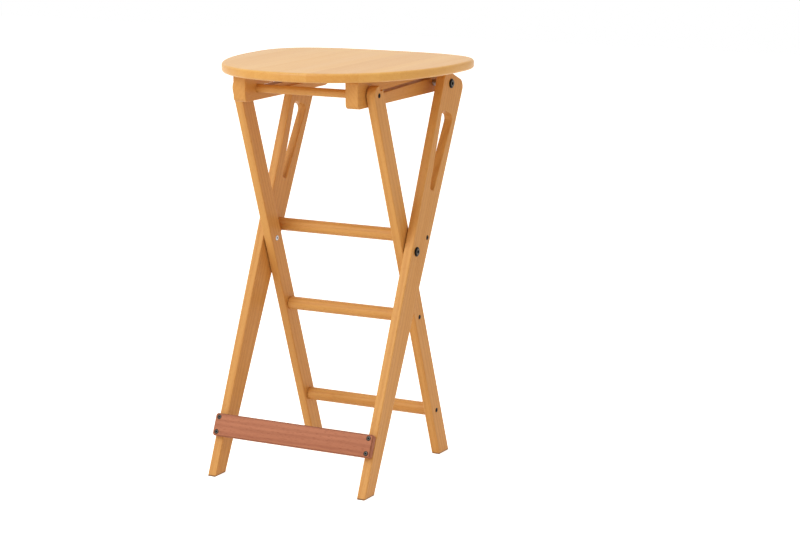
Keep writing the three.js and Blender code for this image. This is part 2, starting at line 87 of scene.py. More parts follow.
# %% Camera
# Angles are in radians, and the lens and its sensor in millimetres
CAMERA_PLACE = Vector((1802.6, -3086.8, 1050.7)) * MM
CAMERA_YAW = 0.500996
CAMERA_PITCH = 0.205105
CAMERA_ROLL = -0.006287
FOCAL_LENGTH = 102.83
SENSOR_WIDTH = 36.0

forward = Vector((
    -sin(CAMERA_YAW) * cos(CAMERA_PITCH),
    cos(CAMERA_YAW) * cos(CAMERA_PITCH),
    -sin(CAMERA_PITCH),
))
level_right = forward.cross(Vector((0, 0, 1))).normalized()
level_up = level_right.cross(forward)
right = cos(CAMERA_ROLL) * level_right + sin(CAMERA_ROLL) * level_up
up = cos(CAMERA_ROLL) * level_up - sin(CAMERA_ROLL) * level_right

camera_data = bpy.data.cameras.new("long_lens")
camera_data.sensor_width = SENSOR_WIDTH
camera_data.lens = FOCAL_LENGTH
camera = bpy.data.objects.new("camera", camera_data)
camera.matrix_world = Matrix((
    (right.x, up.x, -forward.x, CAMERA_PLACE.x),
    (right.y, up.y, -forward.y, CAMERA_PLACE.y),
    (right.z, up.z, -forward.z, CAMERA_PLACE.z),
    (0, 0, 0, 1),
))
scene.collection.objects.link(camera)
scene.camera = camera
print("camera height, mm:", round(CAMERA_PLACE.z / MM))

# %% [markdown]
# ## Small helpers for shaders
#
# Colours are written as sRGB hex, as a paint chart gives them, and one function turns
# them to the linear values that Blender mixes. One more function adds a node, sets its
# settings and fills its sockets, either with a value or with a link.

# %% Shader helpers
def linear(hex_colour):
    """sRGB hex to linear: a channel up to 0.04045 is divided by 12.92, and a brighter
    one has 0.055 added, is divided by 1.055 and raised to the power 2.4."""
    channels = np.array([int(hex_colour[i:i + 2], 16) for i in (1, 3, 5)]) / 255
    low = channels / 12.92
    high = ((channels + 0.055) / 1.055) ** 2.4
    return (*np.where(channels <= 0.04045, low, high).tolist(), 1.0)


def add(tree, kind, inputs=None, **settings):
    """One node of a kind. `settings` are its properties, and `inputs` maps a socket to a
    value or to another node's output, which is linked."""
    node = tree.nodes.new(kind)
    for setting, value in settings.items():
        setattr(node, setting, value)
    for socket, value in (inputs or {}).items():
        if isinstance(value, bpy.types.NodeSocket):
            tree.links.new(value, node.inputs[socket])
        else:
            node.inputs[socket].default_value = value
    return node


def bare_material(name):
    """An empty node material with its output."""
    material = bpy.data.materials.new(name)
    material.use_nodes = True
    material.node_tree.nodes.clear()
    return material, add(material.node_tree, "ShaderNodeOutputMaterial")


WHITE = "#ffffff"
print("white as linear:", linear(WHITE)[:3])

# %% [markdown]
# ## Studio: a white sweep and soft light
#
# The photograph is a catalogue cut-out on pure white, lit softly from the front left and
# from above. The world gives an even, slightly warm fill, and the two front lamps are
# slightly cool. The floor and the world turn white only for camera, glossy and transmitted
# rays, so no extra light falls on the wood. The floor keeps the stool's own faint shadow.

# %% World and floor
FILL_COLOUR = "#ffeedb"
FILL_STRENGTH = 0.69
PAPER_COLOUR = "#f4f1ec"
FLOOR_HALF = 6.0
FLOOR_GLOW = 0.8


def seen_directly(tree):
    """1 for a camera, glossy or transmitted ray, and 0 for one that carries light."""
    rays = add(tree, "ShaderNodeLightPath")
    looks = add(tree, "ShaderNodeMath", operation="MAXIMUM", inputs={
        0: rays.outputs["Is Camera Ray"], 1: rays.outputs["Is Glossy Ray"]})
    return add(tree, "ShaderNodeMath", operation="MAXIMUM", inputs={
        0: looks.outputs[0], 1: rays.outputs["Is Transmission Ray"]}).outputs[0]


world = bpy.data.worlds.new("white_studio")
scene.world = world
world.use_nodes = True
world.node_tree.nodes.clear()
fill_light = add(world.node_tree, "ShaderNodeBackground", {
    "Color": linear(FILL_COLOUR), "Strength": FILL_STRENGTH})
white_wall = add(world.node_tree, "ShaderNodeBackground", {
    "Color": linear(WHITE), "Strength": 1.0})
wall_or_fill = add(world.node_tree, "ShaderNodeMixShader", {
    0: seen_directly(world.node_tree), 1: fill_light.outputs[0], 2: white_wall.outputs[0]})
add(world.node_tree, "ShaderNodeOutputWorld", {"Surface": wall_or_fill.outputs[0]})

paper, paper_output = bare_material("white_paper_sweep")
glow_strength = add(paper.node_tree, "ShaderNodeMath", operation="MULTIPLY", inputs={
    0: seen_directly(paper.node_tree), 1: FLOOR_GLOW})
matt = add(paper.node_tree, "ShaderNodeBsdfDiffuse", {"Color": linear(PAPER_COLOUR)})
glow = add(paper.node_tree, "ShaderNodeEmission", {
    "Color": linear(WHITE), "Strength": glow_strength.outputs[0]})
both = add(paper.node_tree, "ShaderNodeAddShader", {0: matt.outputs[0], 1: glow.outputs[0]})
paper.node_tree.links.new(both.outputs[0], paper_output.inputs["Surface"])

corners = [(-FLOOR_HALF, -FLOOR_HALF, 0), (FLOOR_HALF, -FLOOR_HALF, 0),
           (FLOOR_HALF, FLOOR_HALF, 0), (-FLOOR_HALF, FLOOR_HALF, 0)]
floor_mesh = bpy.data.meshes.new("studio_floor")
floor_mesh.from_pydata(corners, [], [(0, 1, 2, 3)])
floor_mesh.materials.append(paper)
floor = bpy.data.objects.new("studio_floor", floor_mesh)
scene.collection.objects.link(floor)
print("floor side, m:", 2 * FLOOR_HALF)

# %% Lamps
LIGHT_AIM = (0, 0, 0.25)
COOL_WHITE = "#eaf4ff"
WARM_WHITE = "#fffdfa"


def softbox(name, place, width, height, power, colour):
    """A rectangular lamp of a given size in metres at `place`, turned to face the stool."""
    data = bpy.data.lights.new(name, "AREA")
    data.shape = "RECTANGLE"
    data.size, data.size_y = width, height
    data.energy = power
    data.color = linear(colour)[:3]
    lamp = bpy.data.objects.new(name, data)
    lamp.location = place
    facing = Vector(LIGHT_AIM) - Vector(place)
    lamp.rotation_euler = facing.to_track_quat("-Z", "Y").to_euler()
    scene.collection.objects.link(lamp)


softbox("key_front_left", (-0.9, -2.5, 2.9), 1.8, 1.8, power=52, colour=COOL_WHITE)
softbox("low_front_left", (-1.3, -3.1, 1.3), 1.8, 1.4, power=13, colour=COOL_WHITE)
softbox("overhead", (0.2, -0.1, 3.0), 1.8, 1.8, power=7, colour=WARM_WHITE)

# %% [markdown]
# ## Beech under a honey lacquer
#
# A board is cut from a round log, so its figure is a slice through rings about one axis,
# the pith. A solid texture does just that: rings about an axis that runs with the grain,
# some way outside the board. Broad faces then show wide figure, edges show fine lines and
# cut ends show arcs, all joined up at the corners as in real wood. Each board has its own
# grain direction and its own pith, so no two match. Beech is calm wood: the contrast stays
# low, with fine short flecks along the grain and a satin lacquer on top.

# %% Where the boards stand
# The frames lean about X from upright, and a turn takes Z to the way that the grain runs
OUTER_LEAN = radians(23.35)
INNER_LEAN = -radians(18.82)
CROSS_PIVOT = Vector(joints["frame_fold"]["pos_m"])
GRAIN_ALONG_X = (0, pi / 2, 0)
GRAIN_ALONG_Y = (-pi / 2, 0, 0)
print("cross pivot, mm:", [round(c / MM, 1) for c in CROSS_PIVOT])

# %% Sizes of the figure
# The distance between rings, and how wide the clouds and streaks are, on real beech
RING_SPACING = 6.5 * MM
FIGURE_WIDTH = 26 * MM
STREAK_WIDTH = 2.4 * MM
# A real fleck is 0.3 mm wide, too fine for this view, so it is drawn about three times that
FLECK_WIDTH = 0.9 * MM
# How many times longer than wide the figure and the flecks are
FIGURE_STRETCH = 16.0
FLECK_STRETCH = 7.0
# A wave texture of scale 1 turns by 20 radians in each unit, which is this many rings, so
# its unit has to be this long for rings of the real spacing
WAVE_TURNS_PER_UNIT = 20 / (2 * pi)
WAVE_UNIT = RING_SPACING * WAVE_TURNS_PER_UNIT
# Added to a board's seed, so that its clouds and flecks aren't its streaks again
CLOUD_SEED = 3.1
FLECK_SEED = 7.7
# Glued staves: a sway in their width, its angle per metre, and how far apart in the log
# they were cut, in metres
STAVE_SWAY = 0.32
STAVE_SWAY_TURN = 41.0
STAVE_SPREAD = (0.05, 0.9, 0.06)
print("ring spacing, mm:", RING_SPACING / MM)

# %% Depth and gloss of the figure
# How far each thing takes the wood from its light colour to its dark one
STREAK_SHARE = 0.34
CLOUD_SHARE = 0.42
FLECK_SHARE = 0.28
STAVE_SHARE = 0.28
# The sums of these at which the wood has its light and its dark colour
LIGHT_AT, DARK_AT = 0.15, 1.25
# Where late wood, a fleck and a cut end begin, and where they are at their fullest
LATE_WOOD_FROM, LATE_WOOD_TO = 0.25, 0.95
FLECK_FROM, FLECK_TO = 0.60, 0.74
CUT_END_FROM, CUT_END_TO = 0.4, 1.0
# Most of a noise lies between these
NOISE_LOW, NOISE_HIGH = 0.3, 0.7
GLOSSIER, DULLER = 0.04, 0.05
FLECK_SINKS = -0.6
WOOD_RELIEF = 0.12 * MM
# A thin satin lacquer on open-grained wood reflects a little less than a full clear coat
WOOD_IOR = 1.36
LACQUER_IOR = 1.5
EDGE_BROWN = "#431d0d"
print("wood and lacquer IOR:", WOOD_IOR, LACQUER_IOR)


# %% The wood shader
def beech(name, light, dark, turn, pith, seed, ring_share=0.26, staves=None,
          roughness=0.46, coat=0.0, end_share=0.14, darkened=None):
    """Lacquered beech, from planed and sanded boards. The eye gets a calm honey tone with
    soft figure along the grain, short darker flecks, deeper colour on cut ends where stain
    soaks in, and a satin sheen at a low angle.

    `turn` is the board's own axes, with the grain along its Z, `pith` a point on the log's
    axis, `seed` shifts the noise, and `staves` is the width of glued strips across X.
    `darkened` makes a share, from 0 to 1, by which the colour turns to dark brown."""
    material, output = bare_material(name)
    tree = material.node_tree
    place = add(tree, "ShaderNodeTexCoord")
    point = place.outputs["Object"]
    if staves:
        across = add(tree, "ShaderNodeSeparateXYZ", {0: point})
        sway_angle = add(tree, "ShaderNodeMath", operation="MULTIPLY", inputs={
            0: across.outputs["X"], 1: STAVE_SWAY_TURN})
        sway = add(tree, "ShaderNodeMath", operation="SINE", inputs={
            0: sway_angle.outputs[0]})
        widening = add(tree, "ShaderNodeMath", operation="MULTIPLY", inputs={
            0: sway.outputs[0], 1: STAVE_SWAY})
        number = add(tree, "ShaderNodeMath", operation="MULTIPLY_ADD", inputs={
            0: across.outputs["X"], 1: 1 / staves, 2: widening.outputs[0]})
        strip = add(tree, "ShaderNodeMath", operation="FLOOR", inputs={0: number.outputs[0]})
        chance = add(tree, "ShaderNodeTexWhiteNoise", noise_dimensions="1D", inputs={
            "W": strip.outputs[0]})
        shift = add(tree, "ShaderNodeVectorMath", operation="MULTIPLY", inputs={
            0: chance.outputs["Color"], 1: STAVE_SPREAD})
        point = add(tree, "ShaderNodeVectorMath", operation="ADD", inputs={
            0: point, 1: shift.outputs[0]}).outputs[0]

    # The board's own space: rings are round Z, and everything is stretched along Z
    board = add(tree, "ShaderNodeMapping", vector_type="TEXTURE", inputs={
        "Vector": point, "Location": pith, "Rotation": turn,
        "Scale": (1, 1, FIGURE_STRETCH)})
    grain = board.outputs[0]
    rings = add(tree, "ShaderNodeTexWave", wave_type="RINGS", rings_direction="Z",
                wave_profile="SIN", inputs={
                    "Vector": grain, "Scale": 1 / WAVE_UNIT, "Distortion": 7.0,
                    "Detail": 2.0, "Detail Scale": WAVE_UNIT / FIGURE_WIDTH,
                    "Detail Roughness": 0.45, "Phase Offset": seed})
    late_wood = add(tree, "ShaderNodeMapRange", interpolation_type="SMOOTHSTEP", inputs={
        "Value": rings.outputs["Fac"], "From Min": LATE_WOOD_FROM, "From Max": LATE_WOOD_TO})
    streaks = add(tree, "ShaderNodeTexNoise", noise_dimensions="4D", inputs={
        "Vector": grain, "W": seed, "Scale": 1 / STREAK_WIDTH, "Detail": 2.0,
        "Roughness": 0.5})
    clouds = add(tree, "ShaderNodeTexNoise", noise_dimensions="4D", inputs={
        "Vector": grain, "W": seed + CLOUD_SEED, "Scale": 1 / FIGURE_WIDTH, "Detail": 1.0,
        "Roughness": 0.4})
    fleck_space = add(tree, "ShaderNodeMapping", vector_type="TEXTURE", inputs={
        "Vector": grain, "Scale": (1, 1, FLECK_STRETCH / FIGURE_STRETCH)})
    flecks = add(tree, "ShaderNodeTexNoise", noise_dimensions="4D", inputs={
        "Vector": fleck_space.outputs[0], "W": seed + FLECK_SEED, "Scale": 1 / FLECK_WIDTH,
        "Detail": 0.0})
    fleck = add(tree, "ShaderNodeMapRange", interpolation_type="SMOOTHSTEP", inputs={
        "Value": flecks.outputs["Fac"], "From Min": FLECK_FROM, "From Max": FLECK_TO})

    # How dark each thing makes the wood, added up
    ring_dark = add(tree, "ShaderNodeMath", operation="MULTIPLY", inputs={
        0: late_wood.outputs[0], 1: ring_share})
    with_streaks = add(tree, "ShaderNodeMath", operation="MULTIPLY_ADD", inputs={
        0: streaks.outputs["Fac"], 1: STREAK_SHARE, 2: ring_dark.outputs[0]})
    with_clouds = add(tree, "ShaderNodeMath", operation="MULTIPLY_ADD", inputs={
        0: clouds.outputs["Fac"], 1: CLOUD_SHARE, 2: with_streaks.outputs[0]})
    depth = add(tree, "ShaderNodeMath", operation="MULTIPLY_ADD", inputs={
        0: fleck.outputs[0], 1: FLECK_SHARE, 2: with_clouds.outputs[0]}).outputs[0]
    if staves:
        depth = add(tree, "ShaderNodeMath", operation="MULTIPLY_ADD", inputs={
            0: chance.outputs["Value"], 1: STAVE_SHARE, 2: depth}).outputs[0]
    # Cut ends: where the surface faces along the grain, seen in the object's own axes
    end_space = add(tree, "ShaderNodeMapping", vector_type="TEXTURE", inputs={
        "Vector": place.outputs["Normal"], "Rotation": turn})
    facing = add(tree, "ShaderNodeSeparateXYZ", {0: end_space.outputs[0]})
    endwise = add(tree, "ShaderNodeMath", operation="ABSOLUTE", inputs={
        0: facing.outputs["Z"]})
    cut_end = add(tree, "ShaderNodeMapRange", interpolation_type="SMOOTHSTEP", inputs={
        "Value": endwise.outputs[0], "From Min": CUT_END_FROM, "From Max": CUT_END_TO,
        "To Max": end_share})
    depth = add(tree, "ShaderNodeMath", operation="ADD", inputs={
        0: depth, 1: cut_end.outputs[0]}).outputs[0]
    tone = add(tree, "ShaderNodeMapRange", inputs={
        "Value": depth, "From Min": LIGHT_AT, "From Max": DARK_AT})
    # Sockets 6 and 7 of a Mix node are its two colours, and its output 2 is a colour
    colour = add(tree, "ShaderNodeMix", data_type="RGBA", inputs={
        0: tone.outputs[0], 6: linear(light), 7: linear(dark)})
    if darkened:
        colour = add(tree, "ShaderNodeMix", data_type="RGBA", inputs={
            0: darkened(tree, place.outputs["Object"]), 6: colour.outputs[2],
            7: linear(EDGE_BROWN)})

    # Flecks sink and dark streaks rise by a few hundredths of a millimetre in the lacquer
    relief = add(tree, "ShaderNodeMath", operation="MULTIPLY_ADD", inputs={
        0: fleck.outputs[0], 1: FLECK_SINKS, 2: streaks.outputs["Fac"]})
    bump = add(tree, "ShaderNodeBump", inputs={
        "Height": relief.outputs[0], "Strength": 0.25, "Distance": WOOD_RELIEF})
    sheen = add(tree, "ShaderNodeMapRange", inputs={
        "Value": clouds.outputs["Fac"], "From Min": NOISE_LOW, "From Max": NOISE_HIGH,
        "To Min": roughness - GLOSSIER, "To Max": roughness + DULLER})
    surface = add(tree, "ShaderNodeBsdfPrincipled", inputs={
        "Base Color": colour.outputs[2],
        "Roughness": sheen.outputs[0],
        "IOR": WOOD_IOR,
        "Coat Weight": coat,
        "Coat Roughness": 0.3,
        "Coat IOR": LACQUER_IOR,
        "Normal": bump.outputs[0]})
    tree.links.new(surface.outputs[0], output.inputs["Surface"])
    return material


print("figure, streak and fleck widths, mm:",
      [round(size / MM, 1) for size in (FIGURE_WIDTH, STREAK_WIDTH, FLECK_WIDTH)])

# %% [markdown]
# ## Dark edges
#
# Two edges of the stool are drawn darker than its faces: the legs over their last few
# millimetres above the floor, and the footrest along its rim. Both are made as a share of
# dark brown that depends only on the place in the board, so they are the same from every
# side.

# %% Darkened edges
FOOT_LINE = 3.4 * MM
FOOT_SHARE = 0.9
RIM_LINE = 2.3 * MM
RIM_SHARE = 0.9


def foot_line(tree, point):
    """FOOT_SHARE on the floor, falling smoothly to 0 at FOOT_LINE above it."""
    height = add(tree, "ShaderNodeSeparateXYZ", {0: point})
    return add(tree, "ShaderNodeMapRange", interpolation_type="SMOOTHSTEP", inputs={
        "Value": height.outputs["Z"], "From Min": 0.0, "From Max": FOOT_LINE,
        "To Min": FOOT_SHARE, "To Max": 0.0}).outputs[0]


def board_rim(centre, turn, half_sizes):
    """A maker of shares for a board about `centre`: each of its own coordinates is compared
    with its half size, and its share rises over the last RIM_LINE. An edge is where a face's
    own share meets one of the two others', so the faces' middles stay clear."""
    def share(tree, point):
        own = add(tree, "ShaderNodeMapping", vector_type="TEXTURE", inputs={
            "Vector": point, "Location": centre, "Rotation": turn})
        parts = add(tree, "ShaderNodeSeparateXYZ", {0: own.outputs[0]})
        near = {}
        for part, half in zip("XYZ", half_sizes):
            distance = add(tree, "ShaderNodeMath", operation="ABSOLUTE", inputs={
                0: parts.outputs[part]})
            near[part] = add(tree, "ShaderNodeMapRange", interpolation_type="SMOOTHSTEP",
                             inputs={"Value": distance.outputs[0], "From Min": half - RIM_LINE,
                                     "From Max": half}).outputs[0]
        outline = add(tree, "ShaderNodeMath", operation="MAXIMUM", inputs={
            0: near["X"], 1: near["Z"]})
        edge = add(tree, "ShaderNodeMath", operation="MULTIPLY", inputs={
            0: outline.outputs[0], 1: near["Y"]})
        return add(tree, "ShaderNodeMath", operation="MULTIPLY", inputs={
            0: edge.outputs[0], 1: RIM_SHARE}).outputs[0]
    return share


print("edge lines, mm:", round(FOOT_LINE / MM, 1), round(RIM_LINE / MM, 1))

# %% [markdown]
# ## Dressing the frame's own boards
#
# The legs and battens have the right shape in the frame already, so they keep it, and only
# get the wood. The legs' grain runs up their own lean, so the turn is about X. The battens'
# grain runs from front to back.

# %% Boards with grain
HONEY_LIGHT = "#dca55b"
HONEY_DARK = "#bf7e3b"
# Each leg's lean, and the x and y at which its pith meets the floor on the right side. The
# left side has both with the other sign
LEGS = {
    "outer_leg": (OUTER_LEAN, 52 * MM, 30 * MM),
    "inner_leg": (INNER_LEAN, 190 * MM, 30 * MM),
}
LEG_SEED_STEP = 1.7
BATTEN_PITH_X = 160 * MM
BATTEN_PITH_HEIGHT = 660 * MM
BATTEN_SEED = 11
# The battens show quieter rings than the legs
BATTEN_RING_SHARE = 0.12


def dress(node, material):
    """Puts one material in every slot of a frame node."""
    slots = frame["nodes"][node].data.materials
    for index in range(len(slots)):
        slots[index] = material


dressed = []
for kind, (lean, pith_x, pith_y) in LEGS.items():
    for side, sign in SIDES.items():
        wood = beech(f"beech_{kind}_{side}", HONEY_LIGHT, HONEY_DARK, (-lean, 0, 0),
                     (sign * pith_x, sign * pith_y, 0), seed=len(dressed) * LEG_SEED_STEP,
                     darkened=foot_line)
        dress(f"{kind}_{side}", wood)
        dressed.append(f"{kind}_{side}")
for side, sign in SIDES.items():
    wood = beech(f"beech_batten_{side}", HONEY_LIGHT, HONEY_DARK, GRAIN_ALONG_Y,
                 (sign * BATTEN_PITH_X, 0, BATTEN_PITH_HEIGHT), seed=BATTEN_SEED + sign,
                 ring_share=BATTEN_RING_SHARE)
    dress(f"batten_{side}", wood)
    dressed.append(f"batten_{side}")
print("dressed:", dressed)

# %% [markdown]
# ## Surfaces from rings of points
#
# Turned pieces, screws and the seat's rounded board are all the same kind of surface: a
# closed curve that changes shape as it travels along a path, with a point at each end to
# close it. Numpy works out all the points as one array, so nothing loops over vertices.

# %% Ring surfaces
SMOOTH_UP_TO = radians(32)


def ring_surface(name, rings, start, end):
    """A closed mesh from rings[v, u, xyz]: a quad joins each pair of neighbours, and fans
    join the first ring to `start` and the last to `end`. The enclosed volume, a sixth of
    the sum of each triangle's triple product, says whether the faces point outwards."""
    v_count, u_count = rings.shape[:2]
    points = np.vstack([rings.reshape(-1, 3), start, end])
    row, col = np.meshgrid(np.arange(v_count - 1), np.arange(u_count), indexing="ij")
    after = (col + 1) % u_count
    quads = np.stack([
        row * u_count + col, row * u_count + after,
        (row + 1) * u_count + after, (row + 1) * u_count + col], -1).reshape(-1, 4)
    u = np.arange(u_count)
    u_next = (u + 1) % u_count
    last = (v_count - 1) * u_count
    pole = v_count * u_count
    fans = np.concatenate([
        np.stack([np.full(u_count, pole), u_next, u], -1),
        np.stack([np.full(u_count, pole + 1), last + u, last + u_next], -1)])
    halves = np.concatenate([quads[:, [0, 1, 2]], quads[:, [0, 2, 3]], fans])
    a, b, c = (points[halves[:, i]] for i in range(3))
    if np.einsum("ij,ij->i", a, np.cross(b, c)).sum() < 0:
        quads, fans = quads[:, ::-1], fans[:, ::-1]
    mesh = bpy.data.meshes.new(name)
    mesh.from_pydata(points.tolist(), [], quads.tolist() + fans.tolist())
    mesh.validate()
    mesh.shade_smooth()
    mesh.set_sharp_from_angle(angle=SMOOTH_UP_TO)
    return mesh


def piece(name, mesh, body, slot, materials, *nodes):
    """Links a mesh as a piece that rides on a body and stands for some frame nodes."""
    for material in materials:
        mesh.materials.append(material)
    made = bpy.data.objects.new(name, mesh)
    scene.collection.objects.link(made)
    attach(made, body)
    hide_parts(*nodes)
    return made


print("smooth shading up to, degrees:", round(SMOOTH_UP_TO * 180 / pi))

# %% [markdown]
# ## The seat board
#
# The plan is a full curve at the front and a squarer one at the rear. Both are
# superellipses, in which the powers of the two shares add up to one, and they meet at the
# widest line. The edge is rounded over with a router, top and bottom. The board is glued
# from staves that run from front to back, a little different in tone.

# %% Rounded edge
EDGE_STEPS = 7
# How far out from the middle the rings of the flat faces lie, as shares of the rim
FACE_RINGS = np.array([0.15, 0.4, 0.7, 0.92])


def routed_board(plan, outward, thickness, edge):
    """Rings of (x, y, depth) for a flat board with a plan[u] and its outward normals. The
    rim goes in by the edge radius times one less the sine of an angle while it sinks by the
    radius times one less the cosine, stays upright, and turns back in the same way. Rings
    that shrink towards the middle make the two faces."""
    bend = np.linspace(0, pi / 2, EDGE_STEPS)
    inset = edge * np.concatenate([1 - np.sin(bend), 1 - np.cos(bend)])
    depth = np.concatenate([edge * (1 - np.cos(bend)), thickness - edge * (1 - np.sin(bend))])
    middle = plan.mean(axis=0)
    rim = plan - outward * inset[:, None, None]
    shares = FACE_RINGS[:, None, None]
    flat = np.concatenate([middle + (rim[0] - middle) * shares, rim,
                           middle + (rim[-1] - middle) * shares[::-1]])
    depths = np.concatenate([
        np.zeros(len(shares)), depth, np.full(len(shares), thickness)])
    return np.concatenate(
        [flat, np.broadcast_to(depths[:, None, None], (*flat.shape[:2], 1))], -1)


print("rings of a routed board:", 2 * (EDGE_STEPS + len(FACE_RINGS)))

# %% Seat outline
SEAT_WIDTH = 384 * MM
SEAT_WIDEST_BEFORE_REAR = 114 * MM
SEAT_FRONT_FULLNESS = 2.22
SEAT_REAR_FULLNESS = 3.0
SEAT_POINTS = 288
MEASURING_POINTS = 7201


def seat_plan(front, rear, widest, angles):
    """Each half is the superellipse x = half width * cos^(2/n), y = depth * sin^(2/n), with
    the signs of cos and sin, about the widest line. Also gives the outward normal, which
    is the gradient of |x/a|^n + |y/b|^n."""
    back = np.sin(angles) > 0
    fullness = np.where(back, SEAT_REAR_FULLNESS, SEAT_FRONT_FULLNESS)
    depth = np.where(back, rear - widest, widest - front)
    c, s = np.cos(angles), np.sin(angles)
    half = SEAT_WIDTH / 2
    x_share = np.sign(c) * np.abs(c) ** (2 / fullness)
    y_share = np.sign(s) * np.abs(s) ** (2 / fullness)
    gradient = np.stack([
        np.sign(c) * np.abs(x_share) ** (fullness - 1) / half,
        np.sign(s) * np.abs(y_share) ** (fullness - 1) / depth], -1)
    normal = gradient / np.linalg.norm(gradient, axis=-1, keepdims=True)
    return np.stack([half * x_share, widest + depth * y_share], -1), normal


seat_low, seat_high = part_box("seat_board")
seat_widest = seat_high.y - SEAT_WIDEST_BEFORE_REAR
# Even steps in angle leave gaps where the curve is full, so the points are spread evenly
fine = np.linspace(0, 2 * pi, MEASURING_POINTS)
fine_plan, _ = seat_plan(seat_low.y, seat_high.y, seat_widest, fine)
steps = np.linalg.norm(np.diff(fine_plan, axis=0), axis=1)
travelled = np.concatenate([[0], np.cumsum(steps)])
even = np.linspace(0, travelled[-1], SEAT_POINTS + 1)[:-1]
plan, outward = seat_plan(seat_low.y, seat_high.y, seat_widest,
                          np.interp(even, travelled, fine))
print("way round the seat, mm:", round(travelled[-1] / MM))

# %% Seat board
SEAT_TOP = cad_box[1][2]
SEAT_THICKNESS = 14.5 * MM
SEAT_EDGE = 4.2 * MM
SEAT_LIGHT = "#eaba66"
SEAT_DARK = "#d39643"
SEAT_PITH = (20 * MM, 0, 520 * MM)
STAVE_WIDTH = 27 * MM

seat_board = routed_board(plan, outward, SEAT_THICKNESS, SEAT_EDGE)
seat_rings = seat_board * [1, 1, -1] + [0, 0, SEAT_TOP]
middle = plan.mean(axis=0)
seat_mesh = ring_surface(
    "seat_glued_board", seat_rings,
    [*middle, SEAT_TOP], [*middle, SEAT_TOP - SEAT_THICKNESS])
# The seat gets a thicker, glossier lacquer than the frames, and quiet rings
seat_wood = beech("beech_seat_staves", SEAT_LIGHT, SEAT_DARK, GRAIN_ALONG_Y, SEAT_PITH,
                  seed=5.3, ring_share=0.06, staves=STAVE_WIDTH, coat=0.42, end_share=0.5)
piece("seat_glued_board", seat_mesh, "seat", "seat_beech", [seat_wood], "seat_board")
print("seat points:", len(seat_mesh.vertices))

# %% [markdown]
# ## Rungs and the rolling dowel
#
# The rungs are turned from straight beech. Their ends are eased a little, and meet the
# legs in a fine shadow line. The ends of the thinner dowel at the top lie in shallow
# grooves of the battens, and it rolls along them as the stool folds. A turned piece is a
# profile of radius against length, carried round an axis along X.

# %% Turned pieces
TURNED_POINTS = 72
TURNED_EASE = 0.9 * MM
EASE_STEPS = 5
# Rings along a bar, as shares of its half length
BAR_STATIONS = np.linspace(-0.8, 0.8, 9)
# From a bar's axis to its log's pith
BAR_PITH_BACK = 55 * MM
BAR_PITH_UP = 30 * MM


def turned_bar(name, low, high):
    """A bar along X that fills a box: the radius is the box's half height, and falls by the
    ease along a quarter arc at both ends."""
    low, high = np.array(low), np.array(high)
    centre = (low + high) / 2
    half_length, radius = (high[0] - low[0]) / 2, (high[2] - low[2]) / 2
    ease = np.linspace(0, pi / 2, EASE_STEPS)
    near = np.stack([-half_length + TURNED_EASE * (1 - np.cos(ease)),
                     radius - TURNED_EASE * (1 - np.sin(ease))], -1)
    stations = BAR_STATIONS[:, None] * half_length
    body = np.concatenate([stations, np.full_like(stations, radius)], -1)
    far = (near * [-1, 1])[::-1]
    profile = np.concatenate([near, body, far])
    turn = np.linspace(0, 2 * pi, TURNED_POINTS, endpoint=False)
    rings = np.stack(np.broadcast_arrays(
        centre[0] + profile[:, :1],
        centre[1] + profile[:, 1:] * np.cos(turn),
        centre[2] + profile[:, 1:] * np.sin(turn)), -1)
    return ring_surface(name, rings, [low[0], *centre[1:]], [high[0], *centre[1:]])


# The body that each bar rides on, and its noise's seed
bars = {
    "upper_rung": ("outer_frame", 21.0),
    "middle_rung": ("inner_frame", 23.0),
    "lower_rung": ("inner_frame", 25.0),
    "top_dowel": ("top_dowel", 27.0),
}
for node, (body, seed) in bars.items():
    low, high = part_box(node)
    pith = (0, (low.y + high.y) / 2 + BAR_PITH_BACK, (low.z + high.z) / 2 + BAR_PITH_UP)
    wood = beech(f"beech_{node}", HONEY_LIGHT, HONEY_DARK, GRAIN_ALONG_X, pith, seed)
    mesh = turned_bar(f"turned_{node}", low, high)
    piece(f"turned_{node}", mesh, body, "beech", [wood], node)
print("turned bars:", list(bars))

# %% [markdown]
# ## The footrest
#
# A flat board in a darker, redder stain is screwed to the fronts of the outer legs. Its
# grain runs across the stool. The frame's own board has the right shape, so it keeps it.

# %% Footrest
RED_LIGHT = "#bd7b5a"
RED_DARK = "#803f27"
FOOTREST_HALF_WIDTH = 143.3 * MM
FOOTREST_HALF_HEIGHT = 18.2 * MM
FOOTREST_HALF_THICKNESS = 5.9 * MM
# From the low front corner of the board's box to its log's pith
FOOTREST_PITH_BACK = 80 * MM
FOOTREST_PITH_UP = 50 * MM

low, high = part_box("footrest")
footrest_rim = board_rim((low + high) / 2, (-OUTER_LEAN, 0, 0), (
    FOOTREST_HALF_WIDTH, FOOTREST_HALF_THICKNESS, FOOTREST_HALF_HEIGHT))
red_wood = beech("red_stained_beech", RED_LIGHT, RED_DARK, GRAIN_ALONG_X,
                 (0, low.y + FOOTREST_PITH_BACK, low.z + FOOTREST_PITH_UP), seed=31.0,
                 ring_share=0.2, roughness=0.55, darkened=footrest_rim)
dress("footrest", red_wood)
print("footrest width, mm:", round((high.x - low.x) / MM, 1))

# %% [markdown]
# ## Steel: blackened bolts and screws, and zinc-plated nuts
#
# The bolt heads are turned and then pressed with a hexagon socket. As a surface, the ring
# of points is a hexagon in the socket and blends to a circle on the head. Blackened steel
# is dark and satin with a faint oily sheen. Zinc is pale grey and brighter. The washers,
# spacers and threaded inserts keep the frame's own solids and only get the zinc.

# %% Steel shaders
GLOSS_SPREAD = 0.06
STEEL_RELIEF = 0.03 * MM


